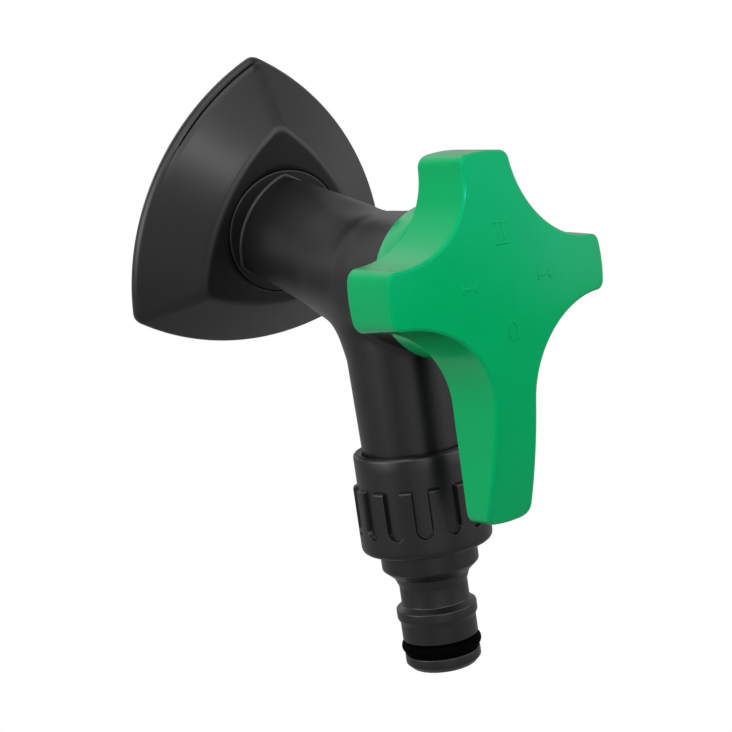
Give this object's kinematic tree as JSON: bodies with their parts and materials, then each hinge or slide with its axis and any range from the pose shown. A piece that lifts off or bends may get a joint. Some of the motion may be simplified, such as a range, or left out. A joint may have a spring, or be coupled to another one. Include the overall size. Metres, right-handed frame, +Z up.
{
  "type": "garden tap",
  "caption": "Moulded wall tap for the garden with a star handle, a rounded triangular wall plate, a slanted leg and a screwed-on hose connector.",
  "frame": {"origin": "on the inlet thread's axis, in the plane of the wall", "axes": "+X to the right for someone who faces the tap, +Y into the wall along the inlet, +Z up"},
  "size_m": [0.064, 0.1145, 0.1153],
  "materials": {
    "black_plastic": "moulded, satin black",
    "green_plastic": "moulded, glossy green",
    "white_plastic": "moulded, natural white",
    "rubber": "moulded, black",
    "brass": "turned",
    "spring_steel": "bright spring wire",
    "ceramic": "lapped ceramic, opaque"
  },
  "bodies": {
    "tap": {"tap_body": "black_plastic", "inlet_nipple": "brass", "inlet_seal": "rubber", "headwork_body": "brass", "headwork_ring": "rubber", "seat_seal": "rubber", "seal_support": "white_plastic", "fixed_disc": "ceramic", "thrust_washer": "white_plastic"},
    "plate": {"wall_plate": "black_plastic"},
    "valve": {"handle": "green_plastic", "handle_clip": "spring_steel", "spindle": "brass", "spindle_rings": "rubber", "circlip": "spring_steel", "moving_disc": "ceramic"},
    "washer": {"connector_washer": "rubber"},
    "connector": {"hose_connector": "black_plastic", "nose_ring": "rubber"}
  },
  "joints": [
    {"name": "handle_turn", "type": "hinge", "parent": "tap", "child": "valve", "pos_m": [0, -0.0568, 0], "axis": [0, -0.9711, 0.2385], "continuous": true},
    {"name": "plate_turn", "type": "hinge", "parent": "tap", "child": "plate", "pos_m": [0, 0, 0], "axis": [0, 1, 0], "continuous": true},
    {"name": "connector_travel", "type": "slide", "parent": "tap", "child": "washer", "axis": [0, -0.2385, -0.9711], "range_m": [0, 0.0092]},
    {"name": "connector_turn", "type": "hinge", "parent": "washer", "child": "connector", "pos_m": [0, -0.06634, -0.03884], "axis": [0, -0.2385, -0.9711], "range_deg": [0, 1800]}
  ],
  "couplings": [
    {"joint": "connector_travel", "follows": "connector_turn", "m_per_rad": 0.00028871}
  ]
}
